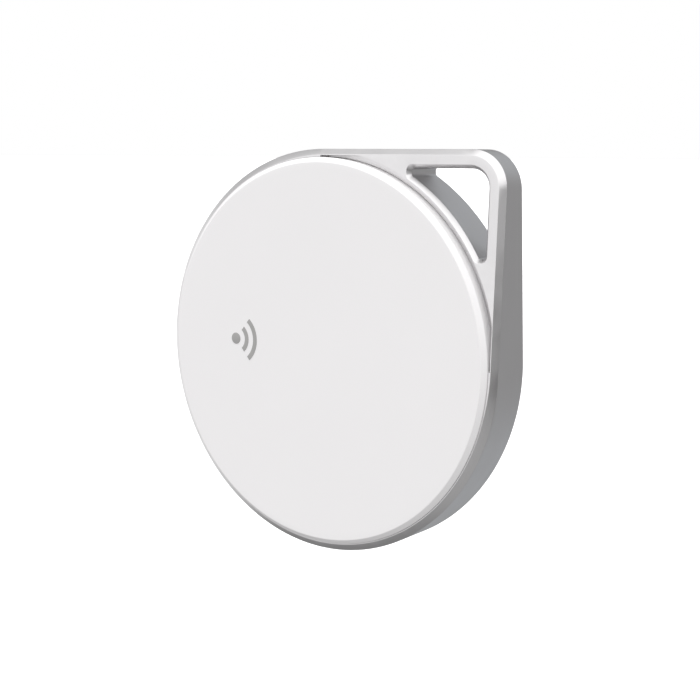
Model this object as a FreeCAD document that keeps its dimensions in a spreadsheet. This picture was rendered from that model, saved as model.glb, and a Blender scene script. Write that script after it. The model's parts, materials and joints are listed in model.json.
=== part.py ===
import FreeCAD, Part
import math
import os
import Sketcher

# Bluetooth tracker tag: a round plastic front in a metal frame whose corner is a key-ring loop.
# Every sub-part is drawn lying flat: local Z is the disc's axis and runs from the back (0) to
# the front. A shared Placement then stands the tag up, front to -Y and loop at the top right,
# with the origin on the disc's axis at half the thickness.

DIMENSIONS = {
    # metal frame
    "outer_radius": 19.0,
    "frame_back": 1.55,
    "frame_front": 6.9,
    "rim_chamfer": 0.5,
    "corner_radius": 3.4,
    "front_lean": 0.07,
    "back_lean": 0.09,
    "bore_radius": 18.33,
    "flange_radius": 17.0,
    "flange_back": 4.3,
    "flange_front": 4.9,
    "groove_radius": 18.88,
    "groove_floor": 5.95,
    "loop_edge": 17.35,
    "loop_curve": 19.25,
    "loop_end": 9.6,
    "loop_corner": 1.7,
    "loop_bevel": 0.32,
    # front cover, which is pressed as a button
    "face_height": 7.4,
    "face_radius": 18.25,
    "face_round": 0.42,
    "face_wall": 0.8,
    "skirt_bottom": 5.3,
    "hook_inner": 16.1,
    "hook_outer": 16.75,
    "hook_barb": 17.3,
    "hook_shelf": 4.2,
    "hook_bottom": 3.8,
    "hook_width": 2.4,
    "switch_radius": 12.4,
    "switch_boss_radius": 1.0,
    "press_travel": 0.25,
    "flat_dome": 0.1,
    "mark_thickness": 0.03,
    "mark_x": -10.0,
    "mark_y": 0.6,
    # sounder glued under the front cover
    "glue_thickness": 0.1,
    "glue_width": 1.3,
    "sounder_radius": 7.5,
    "sounder_thickness": 0.15,
    "ceramic_radius": 5.5,
    "ceramic_thickness": 0.15,
    # carrier and battery well
    "carrier_radius": 18.25,
    "carrier_back": 1.6,
    "carrier_top": 4.2,
    "carrier_rim": 0.7,
    "carrier_shelf": 3.3,
    "carrier_glue_width": 0.65,
    "board_seat_outer": 15.7,
    "board_seat_inner": 15.0,
    "trench_floor": 2.4,
    "rear_radius": 17.2,
    "rear_round": 0.6,
    "well_radius": 10.25,
    "well_wall": 0.95,
    "well_top": 4.4,
    "rear_bore": 12.25,
    "seal_bore": 11.9,
    "channel_radius": 13.05,
    "channel_back": 0.95,
    "channel_front": 1.62,
    "seal_front": 2.3,
    "boss_radius": 1.1,
    "boss_root": 0.2,
    "pilot_floor": 2.7,
    "pilot_gap": 0.02,
    "screw_circle": 13.1,
    "entry_gap": 0.4,
    "entry_front": 1.15,
    "front_seal_gap": 0.05,
    # battery cover
    "lid_radius": 12.15,
    "lid_thickness": 0.85,
    "hub_inner": 10.4,
    "hub_outer": 11.5,
    "hub_top": 2.25,
    "hub_groove": 0.2,
    "oring_section": 0.28,
    "oring_height": 1.96,
    "lug_radius": 12.9,
    "lug_back": 1.05,
    "lug_front": 1.55,
    "lug_width": 2.4,
    "lug_root": 0.4,
    "twist_angle": 25.0,
    "coin_slot_length": 12.0,
    "coin_slot_width": 1.8,
    "coin_slot_depth": 0.45,
    # coin cell, 20 mm by 3.2 mm
    "cell_radius": 10.0,
    "cell_back": 0.95,
    "cell_height": 3.2,
    "cell_wall": 0.25,
    "cell_edge": 0.3,
    "can_drop": 0.35,
    "gasket_width": 0.65,
    "gasket_drop": 0.4,
    "cap_shoulder": 0.4,
    "cap_bend": 0.2,
    # circuit board
    "board_radius": 16.6,
    "board_back": 4.55,
    "board_front": 5.15,
    "board_hole_gap": 0.15,
    "notch_gap": 0.25,
    "notch_inner": 15.9,
    "screw_head_radius": 1.0,
    "screw_head_height": 0.5,
    "screw_shank_radius": 0.5,
    "screw_shank_length": 1.9,
    # snap dome under the cover's boss
    "dome_radius": 2.1,
    "dome_foot": 0.15,
    "dome_crown": 0.9,
    "dome_gap": 0.01,
    "dome_rise": 0.18,
    "dome_metal": 0.08,
    # bent metal contacts
    "strip": 0.1,
    "wall_gap": 0.03,
    "positive_drop": 1.9,
    "positive_tab": 2.2,
    "positive_width": 3.0,
    "negative_reach": 5.0,
    "negative_flat": 1.0,
    "negative_bend": 3.5,
    "negative_sag": 0.28,
    "negative_width": 2.4,
    "spring_foot": 1.6,
    "spring_bend": 0.3,
    "spring_lean": 0.9,
    "spring_tip": 0.2,
    "spring_gap": 0.02,
    "spring_width": 0.8,
}

STAND_UP = FreeCAD.Rotation(FreeCAD.Vector(1, 0, 0), 90)
TO_CORNER = FreeCAD.Rotation(FreeCAD.Vector(0, 0, 1), 45)
ORIGIN = FreeCAD.Vector(0, 0, 0)
SCREW_ANGLES = (60, 180, 300)
SEAM = 0.5
MARK_RINGS = ((0.0, 0.55), (1.15, 1.6), (2.2, 2.65))
MARK_SWEEP = 100
SPRING_STARTS = (2.0, 5.2)

# chips on the board: distance from the axis, angle, length, width, height
CHIPS = {
    "radio_chip": (12.0, 150, 5.0, 5.0, 0.8),
    "driver_chip": (12.2, 35, 3.0, 3.0, 0.7),
    "crystal": (12.6, 122, 2.0, 1.6, 0.5),
    "antenna": (13.2, 80, 2.0, 6.0, 0.9),
}
CAPACITOR_SIZE = (0.6, 1.2, 0.6)
CAPACITOR_PLACES = ((9.2, 20), (15.2, 140), (9.2, 185), (12.4, 200), (14.2, 15), (14.6, 165))

doc = FreeCAD.newDocument("tracker_tag")
sheet = doc.addObject("Spreadsheet::Sheet", "Sizes")
for row, (alias, number) in enumerate(DIMENSIONS.items(), start=1):
    sheet.set(f"A{row}", alias)
    sheet.set(f"B{row}", str(number))
    sheet.setAlias(f"B{row}", alias)
doc.recompute()

sub_parts = []


class Size:
    """A length that knows its present number and the sheet expression behind it."""

    def __init__(self, number, text):
        self.number = number
        self.text = text

    def combine(self, sign, other, number):
        return Size(number, f"({self.text} {sign} {as_size(other).text})")

    def __add__(self, other):
        return self.combine("+", other, self.number + as_size(other).number)

    def __sub__(self, other):
        return self.combine("-", other, self.number - as_size(other).number)

    def __mul__(self, other):
        return self.combine("*", other, self.number * as_size(other).number)

    def __truediv__(self, other):
        return self.combine("/", other, self.number / as_size(other).number)

    def __neg__(self):
        return Size(-self.number, f"(-1 * {self.text})")


def as_size(value):
    return value if isinstance(value, Size) else Size(float(value), f"{value}")


def size(alias):
    return Size(DIMENSIONS[alias], f"Sizes.{alias}")


def root_of(square):
    return Size(math.sqrt(square.number), f"sqrt({square.text})")


def bind(feature, prop, value):
    feature.setExpression(prop, as_size(value).text)


# ---------------------------------------------------------------- sketches

def new_body(name):
    body = doc.addObject("PartDesign::Body", name)
    body.Label = name
    return body


def plane_of(body, role):
    return next(f for f in body.Origin.OriginFeatures if f.Role == role)


def new_sketch(body, name, role, height=0.0, turn=0.0):
    """A sketch on one of the body's own origin planes, raised by height and turned about it."""
    sketch = body.newObject("Sketcher::SketchObject", name)
    sketch.AttachmentSupport = [(plane_of(body, role), "")]
    sketch.MapMode = "FlatFace"
    rotation = FreeCAD.Rotation(FreeCAD.Vector(0, 0, 1), turn)
    sketch.AttachmentOffset = FreeCAD.Placement(ORIGIN, rotation)
    bind(sketch, "AttachmentOffset.Base.z", height)
    return sketch


def place_point(sketch, geometry, corner, x, y):
    """Ties one point of a sketch to the origin by expressions."""
    for kind, value in (("DistanceX", as_size(x)), ("DistanceY", as_size(y))):
        if abs(value.number) < 1e-9:
            axis = -2 if kind == "DistanceX" else -1
            sketch.addConstraint(Sketcher.Constraint("PointOnObject", geometry, corner, axis))
            continue
        rule = sketch.addConstraint(
            Sketcher.Constraint(kind, -1, 1, geometry, corner, value.number))
        bind(sketch, f"Constraints[{rule}]", value)


def draw_polygon(sketch, points):
    """A closed outline of straight lines; each corner is a pair of sizes."""
    corners = [(as_size(x), as_size(y)) for x, y in points]
    vectors = [FreeCAD.Vector(x.number, y.number, 0) for x, y in corners]
    count = len(corners)
    first = sketch.GeometryCount
    for i in range(count):
        sketch.addGeometry(Part.LineSegment(vectors[i], vectors[(i + 1) % count]), False)
    for i in range(count):
        after = first + (i + 1) % count
        sketch.addConstraint(Sketcher.Constraint("Coincident", first + i, 2, after, 1))
    for i, (x, y) in enumerate(corners):
        place_point(sketch, first + i, 1, x, y)


def draw_rectangle(sketch, x0, x1, y0, y1):
    draw_polygon(sketch, [(x0, y0), (x1, y0), (x1, y1), (x0, y1)])


def draw_circle(sketch, x, y, radius):
    radius = as_size(radius)
    centre = FreeCAD.Vector(as_size(x).number, as_size(y).number, 0)
    circle = sketch.addGeometry(Part.Circle(centre, FreeCAD.Vector(0, 0, 1), radius.number), False)
    place_point(sketch, circle, 3, x, y)
    rule = sketch.addConstraint(Sketcher.Constraint("Radius", circle, radius.number))
    bind(sketch, f"Constraints[{rule}]", radius)


# ---------------------------------------------------------------- features

def pad(body, sketch, length, both_ways=False):
    feature = body.newObject("PartDesign::Pad", sketch.Name + "_pad")
    feature.Profile = sketch
    feature.Midplane = both_ways
    bind(feature, "Length", length)
    sketch.Visibility = False
    return feature


def pocket(body, sketch, length, both_ways=False, upwards=False):
    feature = body.newObject("PartDesign::Pocket", sketch.Name + "_pocket")
    feature.Profile = sketch
    feature.Midplane = both_ways
    feature.Reversed = upwards
    bind(feature, "Length", length)
    sketch.Visibility = False
    return feature


def revolve(body, sketch):
    feature = body.newObject("PartDesign::Revolution", sketch.Name + "_turned")
    feature.Profile = sketch
    feature.ReferenceAxis = (sketch, ["V_Axis"])
    feature.Angle = 360
    sketch.Visibility = False
    return feature


def polar(body, feature, count=3):
    pattern = body.newObject("PartDesign::PolarPattern", feature.Name + "_around")
    pattern.Originals = [feature]
    pattern.Axis = (plane_of(body, "Z_Axis"), [""])
    pattern.Angle = 360
    pattern.Occurrences = count
    body.Tip = pattern
    return pattern


def edges_where(feature, keep):
    doc.recompute()
    names = []
    for number, edge in enumerate(feature.Shape.Edges, start=1):
        middle = edge.valueAt((edge.FirstParameter + edge.LastParameter) / 2)
        if keep(edge, middle):
            names.append(f"Edge{number}")
    return names


def dress(body, kind, feature, keep, amount):
    """A fillet or a chamfer on the edges of the last feature that keep() picks."""
    dressed = body.newObject(f"PartDesign::{kind}", f"{feature.Name}_{kind.lower()}")
    dressed.Base = (feature, edges_where(feature, keep))
    bind(dressed, "Radius" if kind == "Fillet" else "Size", amount)
    body.Tip = dressed
    return dressed


def ring_edge_at(radius, height):
    """Picks the full circles of one radius at one height."""
    def keep(edge, middle):
        reach = math.hypot(middle.x, middle.y)
        return abs(reach - radius.number) < 0.01 and abs(middle.z - height.number) < 0.01
    return keep


def finish(feature, label, turn=FreeCAD.Rotation()):
    """Names a finished sub-part and stands it up with the others."""
    feature.Label = label
    feature.Placement = FreeCAD.Placement(ORIGIN, STAND_UP.multiply(turn))
    bind(feature, "Placement.Base.y", size("face_height") / 2)
    sub_parts.append(feature)
    return feature


def group_part(label, pieces, turn=FreeCAD.Rotation()):
    """A sub-part made of solids that were built and placed apart."""
    group = doc.addObject("Part::Compound", label)
    group.Links = pieces
    return finish(group, label, turn)


def about_axis(degrees):
    return FreeCAD.Rotation(FreeCAD.Vector(0, 0, 1), degrees)


def turned_part(label, points):
    """A sub-part that is one revolved outline of (radius, height) corners."""
    body = new_body(label)
    sketch = new_sketch(body, label + "_outline", "XZ_Plane")
    draw_polygon(sketch, points)
    revolve(body, sketch)
    return finish(body, label)


def turned_ring(label, inner, outer, back, front):
    return turned_part(label, [(inner, back), (outer, back), (outer, front), (inner, front)])


def placed_block(name, x, y, back, length, width, height, angle=0.0):
    """A box centred on (x, y), standing on the height back and turned about Z."""
    block = doc.addObject("Part::Box", name)
    bind(block, "Length", length)
    bind(block, "Width", width)
    bind(block, "Height", height)
    turn = FreeCAD.Rotation(FreeCAD.Vector(0, 0, 1), angle)
    half = FreeCAD.Vector(-as_size(length).number / 2, -as_size(width).number / 2, 0)
    start = FreeCAD.Vector(x, y, as_size(back).number) + turn.multVec(half)
    block.Placement = FreeCAD.Placement(start, turn)
    return block


def at_angle(radius, angle):
    turn = math.radians(angle)
    return radius * math.cos(turn), radius * math.sin(turn)


# ---------------------------------------------------------------- metal frame

def lean_plane(height, start, slope):
    """The height of a leaning face at a distance along the diagonal."""
    def at(distance):
        return height.number + slope * (distance - start)
    return at


def add_line(sketch, start, end):
    sketch.addGeometry(Part.LineSegment(FreeCAD.Vector(*start, 0), FreeCAD.Vector(*end, 0)), False)


def draw_corner_outline(sketch, edge, corner):
    """The loop's outer sides: two straight edges, a round corner, and a chord at the ring."""
    far = edge.number
    middle = far - corner.number
    circle = Part.Circle(FreeCAD.Vector(middle, middle, 0), FreeCAD.Vector(0, 0, 1), corner.number)
    add_line(sketch, (far, 0), (far, middle))
    sketch.addGeometry(Part.ArcOfCircle(circle, 0, math.pi / 2), False)
    add_line(sketch, (middle, far), (0, far))
    add_line(sketch, (0, far), (far, 0))
    for before, after in ((0, 1), (1, 2)):
        sketch.addConstraint(Sketcher.Constraint("Tangent", before, 2, after, 1))
    sketch.addConstraint(Sketcher.Constraint("Coincident", 2, 2, 3, 1))
    sketch.addConstraint(Sketcher.Constraint("Coincident", 3, 2, 0, 1))
    sketch.addConstraint(Sketcher.Constraint("Vertical", 0))
    sketch.addConstraint(Sketcher.Constraint("Horizontal", 2))
    place_point(sketch, 0, 1, edge, 0)
    place_point(sketch, 2, 2, 0, edge)
    rule = sketch.addConstraint(Sketcher.Constraint("Radius", 1, corner.number))
    bind(sketch, f"Constraints[{rule}]", corner)


def draw_loop_opening(sketch, edge, corner, end, curve):
    """The key-ring opening: two straight sides, a round corner, blunt ends, one curved side."""
    foot = root_of(curve * curve - end * end)
    middle = edge.number - corner.number
    low, high, near = end.number, edge.number, foot.number
    lines = [((low, near), (low, high)), ((low, high), (middle, high)),
             ((high, middle), (high, low)), ((high, low), (near, low))]
    for start, stop in lines:
        add_line(sketch, start, stop)
    up = FreeCAD.Vector(0, 0, 1)
    corner_circle = Part.Circle(FreeCAD.Vector(middle, middle, 0), up, corner.number)
    sketch.addGeometry(Part.ArcOfCircle(corner_circle, 0, math.pi / 2), False)
    curve_circle = Part.Circle(ORIGIN, up, curve.number)
    first = math.atan2(low, near)
    sketch.addGeometry(Part.ArcOfCircle(curve_circle, first, math.pi / 2 - first), False)
    for line, kind in ((0, "Vertical"), (1, "Horizontal"), (2, "Vertical"), (3, "Horizontal")):
        sketch.addConstraint(Sketcher.Constraint(kind, line))
    place_point(sketch, 0, 2, end, edge)
    place_point(sketch, 2, 2, edge, end)
    sketch.addConstraint(Sketcher.Constraint("Coincident", 0, 2, 1, 1))
    sketch.addConstraint(Sketcher.Constraint("Tangent", 1, 2, 4, 2))
    sketch.addConstraint(Sketcher.Constraint("Tangent", 4, 1, 2, 1))
    sketch.addConstraint(Sketcher.Constraint("Coincident", 2, 2, 3, 1))
    sketch.addConstraint(Sketcher.Constraint("Coincident", 3, 2, 5, 1))
    sketch.addConstraint(Sketcher.Constraint("Coincident", 5, 2, 0, 1))
    sketch.addConstraint(Sketcher.Constraint("Coincident", 5, 3, -1, 1))
    for arc, radius in ((4, corner), (5, curve)):
        rule = sketch.addConstraint(Sketcher.Constraint("Radius", arc, radius.number))
        bind(sketch, f"Constraints[{rule}]", radius)


def draw_groove(sketch, limit, radius):
    """The loop side of the ring groove, kept inside the rim's chamfer."""
    foot = root_of(radius * radius - limit * limit).number
    edge = limit.number
    lines = [((0, 0), (edge, 0)), ((edge, 0), (edge, foot)),
             ((foot, edge), (0, edge)), ((0, edge), (0, 0))]
    for start, stop in lines:
        add_line(sketch, start, stop)
    circle = Part.Circle(ORIGIN, FreeCAD.Vector(0, 0, 1), radius.number)
    first = math.atan2(foot, edge)
    sketch.addGeometry(Part.ArcOfCircle(circle, first, math.pi / 2 - first), False)
    place_point(sketch, 0, 1, 0, 0)
    place_point(sketch, 0, 2, limit, 0)
    place_point(sketch, 3, 1, 0, limit)
    sketch.addConstraint(Sketcher.Constraint("Vertical", 1))
    sketch.addConstraint(Sketcher.Constraint("Horizontal", 2))
    sketch.addConstraint(Sketcher.Constraint("Coincident", 4, 3, -1, 1))
    for before, corner, after, start in ((0, 2, 1, 1), (1, 2, 4, 1), (4, 2, 2, 1), (2, 2, 3, 1),
                                         (3, 2, 0, 1)):
        sketch.addConstraint(Sketcher.Constraint("Coincident", before, corner, after, start))
    rule = sketch.addConstraint(Sketcher.Constraint("Radius", 4, radius.number))
    bind(sketch, f"Constraints[{rule}]", radius)


def make_frame():
    """One metal part: a ring with an inner flange, and a loop that thins towards its corner."""
    outer = size("outer_radius")
    back = size("frame_back")
    front = size("frame_front")
    chamfer = size("rim_chamfer")
    hinge_line = outer / math.sqrt(2)
    beyond = outer * 1.5
    body = new_body("frame")

    sketch = new_sketch(body, "loop_outline", "XY_Plane", back, turn=-45)
    draw_corner_outline(sketch, outer, size("corner_radius"))
    last = pad(body, sketch, front - back)

    waste = 1.0
    faces = ((front, -size("front_lean"), waste), (back, size("back_lean"), -waste))
    for number, (level, slope, outward) in enumerate(faces):
        sketch = new_sketch(body, f"lean_{number}", "XZ_Plane")
        far = level + slope * (beyond - hinge_line)
        draw_polygon(sketch, [(hinge_line, level), (beyond, far),
                              (beyond, level + outward), (hinge_line, level + outward)])
        last = pocket(body, sketch, outer * 4, both_ways=True)

    planes = [lean_plane(level, hinge_line.number, slope.number) for level, slope, _ in faces]

    def on_leaning_face(middle):
        beyond_chord = middle.x > hinge_line.number + SEAM
        return beyond_chord and any(abs(middle.z - plane(middle.x)) < 0.01 for plane in planes)

    last = dress(body, "Chamfer", last, lambda edge, middle: on_leaning_face(middle), chamfer)

    opening = size("loop_edge")
    sketch = new_sketch(body, "loop_opening", "XY_Plane", turn=-45)
    draw_loop_opening(sketch, opening, size("loop_corner"), size("loop_end"), size("loop_curve"))
    last = pocket(body, sketch, front * 4, both_ways=True)

    def around_opening(edge, middle):
        across = (middle.x - middle.y) / math.sqrt(2)
        upward = (middle.x + middle.y) / math.sqrt(2)
        return on_leaning_face(middle) and max(across, upward) < opening.number + 0.05

    last = dress(body, "Chamfer", last, around_opening, size("loop_bevel"))

    sketch = new_sketch(body, "ring_outline", "XZ_Plane")
    draw_polygon(sketch, [(0, back), (outer - chamfer, back), (outer, back + chamfer),
                          (outer, front - chamfer), (outer - chamfer, front), (0, front)])
    revolve(body, sketch)

    sketch = new_sketch(body, "ring_groove", "XY_Plane", size("groove_floor"), turn=-45)
    draw_groove(sketch, outer - chamfer, size("groove_radius"))
    pocket(body, sketch, front, upwards=True)

    bores = (("front_bore", size("flange_front"), size("bore_radius"), True),
             ("back_bore", size("flange_back"), size("bore_radius"), False),
             ("flange_bore", as_size(0), size("flange_radius"), True))
    for name, height, radius, upwards in bores:
        sketch = new_sketch(body, name, "XY_Plane", height)
        draw_circle(sketch, 0, 0, radius)
        last = pocket(body, sketch, front * 2, upwards=upwards)
    body.Tip = last
    finish(body, "frame", TO_CORNER)


# ---------------------------------------------------------------- front cover and sounder

def make_front_cover():
    """The pressed front: a round cap with a skirt, a switch boss and three retaining hooks."""
    radius = size("face_radius")
    top = size("face_height")
    wall = size("face_wall")
    body = new_body("front_cover")
    sketch = new_sketch(body, "cap_outline", "XZ_Plane")
    draw_polygon(sketch, [(0, top - wall), (radius - wall, top - wall),
                          (radius - wall, size("skirt_bottom")), (radius, size("skirt_bottom")),
                          (radius, top), (0, top)])
    last = revolve(body, sketch)
    dress(body, "Fillet", last, ring_edge_at(radius, top), size("face_round"))

    boss_foot = size("board_front") + size("flat_dome") + size("press_travel")
    sketch = new_sketch(body, "switch_boss", "XY_Plane", boss_foot)
    draw_circle(sketch, 0, -size("switch_radius"), size("switch_boss_radius"))
    pad(body, sketch, top - wall / 2 - boss_foot)

    sketch = new_sketch(body, "hook_outline", "XZ_Plane")
    inner = size("hook_inner")
    outer = size("hook_outer")
    shelf = size("hook_shelf")
    draw_polygon(sketch, [(inner, top - wall / 2), (outer, top - wall / 2), (outer, shelf),
                          (size("hook_barb"), shelf), (outer, size("hook_bottom")),
                          (inner, size("hook_bottom"))])
    hook = pad(body, sketch, size("hook_width"), both_ways=True)
    polar(body, hook)
    finish(body, "front_cover")


def make_front_mark():
    """A plain printed mark on the cover: a dot with two signal arcs beside it."""
    top = size("face_height")
    thickness = size("mark_thickness")
    pieces = []
    for number, (inner, outer) in enumerate(MARK_RINGS):
        ring = doc.addObject("Part::Cylinder", f"mark_outer_{number}")
        bind(ring, "Radius", outer)
        bind(ring, "Height", thickness)
        sweep = MARK_SWEEP if inner else 360
        ring.Angle = sweep
        if inner:
            hollow = doc.addObject("Part::Cylinder", f"mark_inner_{number}")
            bind(hollow, "Radius", inner)
            bind(hollow, "Height", thickness)
            cut = doc.addObject("Part::Cut", f"mark_arc_{number}")
            cut.Base = ring
            cut.Tool = hollow
            ring = cut
        turn = FreeCAD.Rotation(FreeCAD.Vector(0, 0, 1), -sweep / 2)
        ring.Placement = FreeCAD.Placement(ORIGIN, turn)
        bind(ring, "Placement.Base.x", size("mark_x"))
        bind(ring, "Placement.Base.y", size("mark_y"))
        bind(ring, "Placement.Base.z", top)
        pieces.append(ring)
    group_part("front_mark", pieces)


def make_sounder():
    """A piezo disc: a brass plate with a ceramic layer, held by a ring of glue."""
    under = size("face_height") - size("face_wall")
    plate_front = under - size("glue_thickness")
    plate_back = plate_front - size("sounder_thickness")
    radius = size("sounder_radius")
    turned_ring("sounder_glue", radius - size("glue_width"), radius, plate_front, under)
    turned_ring("sounder_plate", 0, radius, plate_back, plate_front)
    turned_ring("sounder_ceramic", 0, size("ceramic_radius"),
                plate_back - size("ceramic_thickness"), plate_back)


# ---------------------------------------------------------------- carrier and glue

def make_carrier():
    """The plastic chassis: battery well, board seat, bayonet channel and rounded back ring.

    It is drawn with its lug entries in line with the hooks, then turned to where the lugs open.
    """
    outer = size("carrier_radius")
    back = size("carrier_back")
    well = size("well_radius")
    well_outside = well + size("well_wall")
    well_top = size("well_top")
    seat = size("board_back")
    trench = size("trench_floor")
    top = size("carrier_top")
    shelf = size("carrier_shelf")
    rim = outer - size("carrier_rim")
    seat_outer = size("board_seat_outer")
    seat_inner = size("board_seat_inner")
    body = new_body("carrier")
    sketch = new_sketch(body, "carrier_outline", "XZ_Plane")
    draw_polygon(sketch, [
        (size("rear_bore"), 0), (size("rear_radius"), 0), (size("rear_radius"), back),
        (outer, back), (outer, top), (rim, top), (rim, shelf),
        (seat_outer, shelf), (seat_outer, seat), (seat_inner, seat),
        (seat_inner, trench), (well_outside, trench), (well_outside, well_top),
        (well, well_top), (well, size("seal_front")), (size("seal_bore"), size("seal_front")),
        (size("seal_bore"), size("channel_front")), (size("channel_radius"), size("channel_front")),
        (size("channel_radius"), size("channel_back")), (size("rear_bore"), size("channel_back"))])
    last = revolve(body, sketch)
    dress(body, "Fillet", last, ring_edge_at(size("rear_radius"), as_size(0)), size("rear_round"))

    boss_foot = trench - size("boss_root")
    bosses = new_sketch(body, "screw_bosses", "XY_Plane", boss_foot)
    pilots = new_sketch(body, "screw_pilots", "XY_Plane", size("pilot_floor"))
    opening_turn = DIMENSIONS["twist_angle"]
    for angle in SCREW_ANGLES:
        x, y = circle_point("screw_circle", angle + opening_turn)
        draw_circle(bosses, x, y, size("boss_radius"))
        draw_circle(pilots, x, y, size("screw_shank_radius") + size("pilot_gap"))
    pad(body, bosses, seat - boss_foot)
    pocket(body, pilots, seat, upwards=True)

    sketch = new_sketch(body, "lug_entry", "XZ_Plane")
    draw_rectangle(sketch, size("seal_bore"), size("channel_radius"), -SEAM, size("entry_front"))
    entry = pocket(body, sketch, size("lug_width") + size("entry_gap") * 2, both_ways=True)
    polar(body, entry)
    finish(body, "carrier", about_axis(-opening_turn))


def circle_point(alias, angle):
    """A point on one of the sheet's circles, as a pair of sizes."""
    radius = size(alias)
    turn = math.radians(angle)
    return radius * round(math.cos(turn), 9), radius * round(math.sin(turn), 9)


def make_carrier_glue():
    outer = size("carrier_radius")
    inner = outer - size("carrier_glue_width")
    turned_ring("carrier_glue", inner, outer, size("carrier_top"), size("flange_back"))


def make_front_seal():
    """The soft ring between the frame's flange and the cover's skirt, which springs it back."""
    radius = size("face_radius")
    outer = radius - size("front_seal_gap")
    turned_ring("front_seal", radius - size("face_wall"), outer,
                size("flange_front"), size("skirt_bottom"))


# ---------------------------------------------------------------- battery cover and coin cell

def make_battery_cover():
    """The twist-off back: a disc with a coin slot, a hub for the seal and three bayonet lugs."""
    thickness = size("lid_thickness")
    hub_inner = size("hub_inner")
    hub = size("hub_outer")
    hub_top = size("hub_top")
    seat = size("channel_front")
    groove = hub - size("hub_groove")
    body = new_body("battery_cover")
    sketch = new_sketch(body, "lid_outline", "XZ_Plane")
    draw_polygon(sketch, [
        (0, 0), (size("lid_radius"), 0), (size("lid_radius"), thickness), (hub, thickness),
        (hub, seat), (groove, seat), (groove, hub_top), (hub_inner, hub_top),
        (hub_inner, thickness), (0, thickness)])
    revolve(body, sketch)
    sketch = new_sketch(body, "coin_slot", "XY_Plane")
    half_length = size("coin_slot_length") / 2
    half_width = size("coin_slot_width") / 2
    draw_rectangle(sketch, -half_length, half_length, -half_width, half_width)
    pocket(body, sketch, size("coin_slot_depth"), upwards=True)
    sketch = new_sketch(body, "lug_outline", "XZ_Plane")
    draw_rectangle(sketch, hub - size("lug_root"), size("lug_radius"),
                   size("lug_back"), size("lug_front"))
    lug = pad(body, sketch, size("lug_width"), both_ways=True)
    polar(body, lug)
    finish(body, "battery_cover")


def make_cover_oring():
    section = size("oring_section")
    ring = doc.addObject("Part::Torus", "oring_torus")
    bind(ring, "Radius1", size("hub_outer") - size("hub_groove") + section)
    bind(ring, "Radius2", section)
    bind(ring, "Placement.Base.z", size("oring_height"))
    group_part("cover_oring", [ring])


def make_coin_cell():
    """A 20 mm by 3.2 mm lithium cell: can to the back, cap to the front, a ring between."""
    radius = size("cell_radius")
    back = size("cell_back")
    wall = size("cell_wall")
    front = back + size("cell_height")
    inner = radius - wall
    floor = back + wall
    edge = size("cell_edge")
    rim = front - size("can_drop")
    cap = inner - size("gasket_width")
    top = cap - size("cap_shoulder")
    shoulder = front - size("gasket_width")
    turned_part("cell_can", [(0, back), (radius - edge, back), (radius, back + edge), (radius, rim),
                             (inner, rim), (inner, floor), (0, floor)])
    turned_ring("cell_gasket", cap, inner, floor, front - size("gasket_drop"))
    turned_part("cell_cap", [(0, floor), (cap, floor), (cap, shoulder),
                             (top, front - size("cap_bend")), (top, front), (0, front)])


# ---------------------------------------------------------------- board and electronics

def make_board():
    """The round circuit board with three hook notches and three screw holes."""
    back = size("board_back")
    body = new_body("circuit_board")
    sketch = new_sketch(body, "board_outline", "XY_Plane", back)
    draw_circle(sketch, 0, 0, size("board_radius"))
    pad(body, sketch, size("board_front") - back)
    holes = new_sketch(body, "board_holes", "XY_Plane", back)
    for angle in SCREW_ANGLES:
        x, y = circle_point("screw_circle", angle)
        draw_circle(holes, x, y, size("screw_shank_radius") + size("board_hole_gap"))
    pocket(body, holes, back, upwards=True)
    notch = new_sketch(body, "hook_notch", "XZ_Plane")
    draw_rectangle(notch, size("notch_inner"), size("bore_radius"), back - SEAM, back + SEAM * 2)
    cut = pocket(body, notch, size("hook_width") + size("notch_gap") * 2, both_ways=True)
    polar(body, cut)
    finish(body, "circuit_board")


def make_chips():
    for label, (radius, angle, length, width, height) in CHIPS.items():
        x, y = at_angle(radius, angle)
        chip = placed_block(label + "_block", x, y, size("board_front"),
                            length, width, height, angle)
        group_part(label, [chip])


def make_capacitors():
    blocks = []
    for number, (radius, angle) in enumerate(CAPACITOR_PLACES):
        x, y = at_angle(radius, angle)
        blocks.append(placed_block(f"capacitor_{number}", x, y, size("board_front"),
                                   *CAPACITOR_SIZE, angle))
    group_part("capacitors", blocks)


def make_board_screws():
    screws = []
    for number, angle in enumerate(SCREW_ANGLES):
        x, y = at_angle(DIMENSIONS["screw_circle"], angle)
        seat = size("board_front")
        shank = size("screw_shank_length")
        parts = (("head", size("screw_head_radius"), seat, size("screw_head_height")),
                 ("shank", size("screw_shank_radius"), seat - shank, shank))
        pieces = []
        for name, radius, bottom, height in parts:
            piece = doc.addObject("Part::Cylinder", f"screw_{name}_{number}")
            bind(piece, "Radius", radius)
            bind(piece, "Height", height)
            piece.Placement.Base = FreeCAD.Vector(x, y, bottom.number)
            pieces.append(piece)
        screw = doc.addObject("Part::MultiFuse", f"screw_{number}")
        screw.Shapes = pieces
        screw.Refine = True
        screws.append(screw)
    group_part("board_screws", screws)


def make_press_dome():
    """The snap dome that the cover's boss presses."""
    metal = size("dome_metal")
    foot = size("board_front") + size("dome_gap")
    rise = foot + size("dome_rise")
    crown = size("dome_crown")
    rim = size("dome_radius")
    heel = rim - size("dome_foot")
    body = new_body("dome_body")
    sketch = new_sketch(body, "dome_outline", "XZ_Plane")
    draw_polygon(sketch, [(0, rise), (crown, rise), (heel, foot), (rim, foot),
                          (rim, foot + metal), (heel, foot + metal),
                          (crown, rise + metal), (0, rise + metal)])
    revolve(body, sketch)
    bind(body, "Placement.Base.y", -size("switch_radius"))
    group_part("press_dome", [body])


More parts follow.
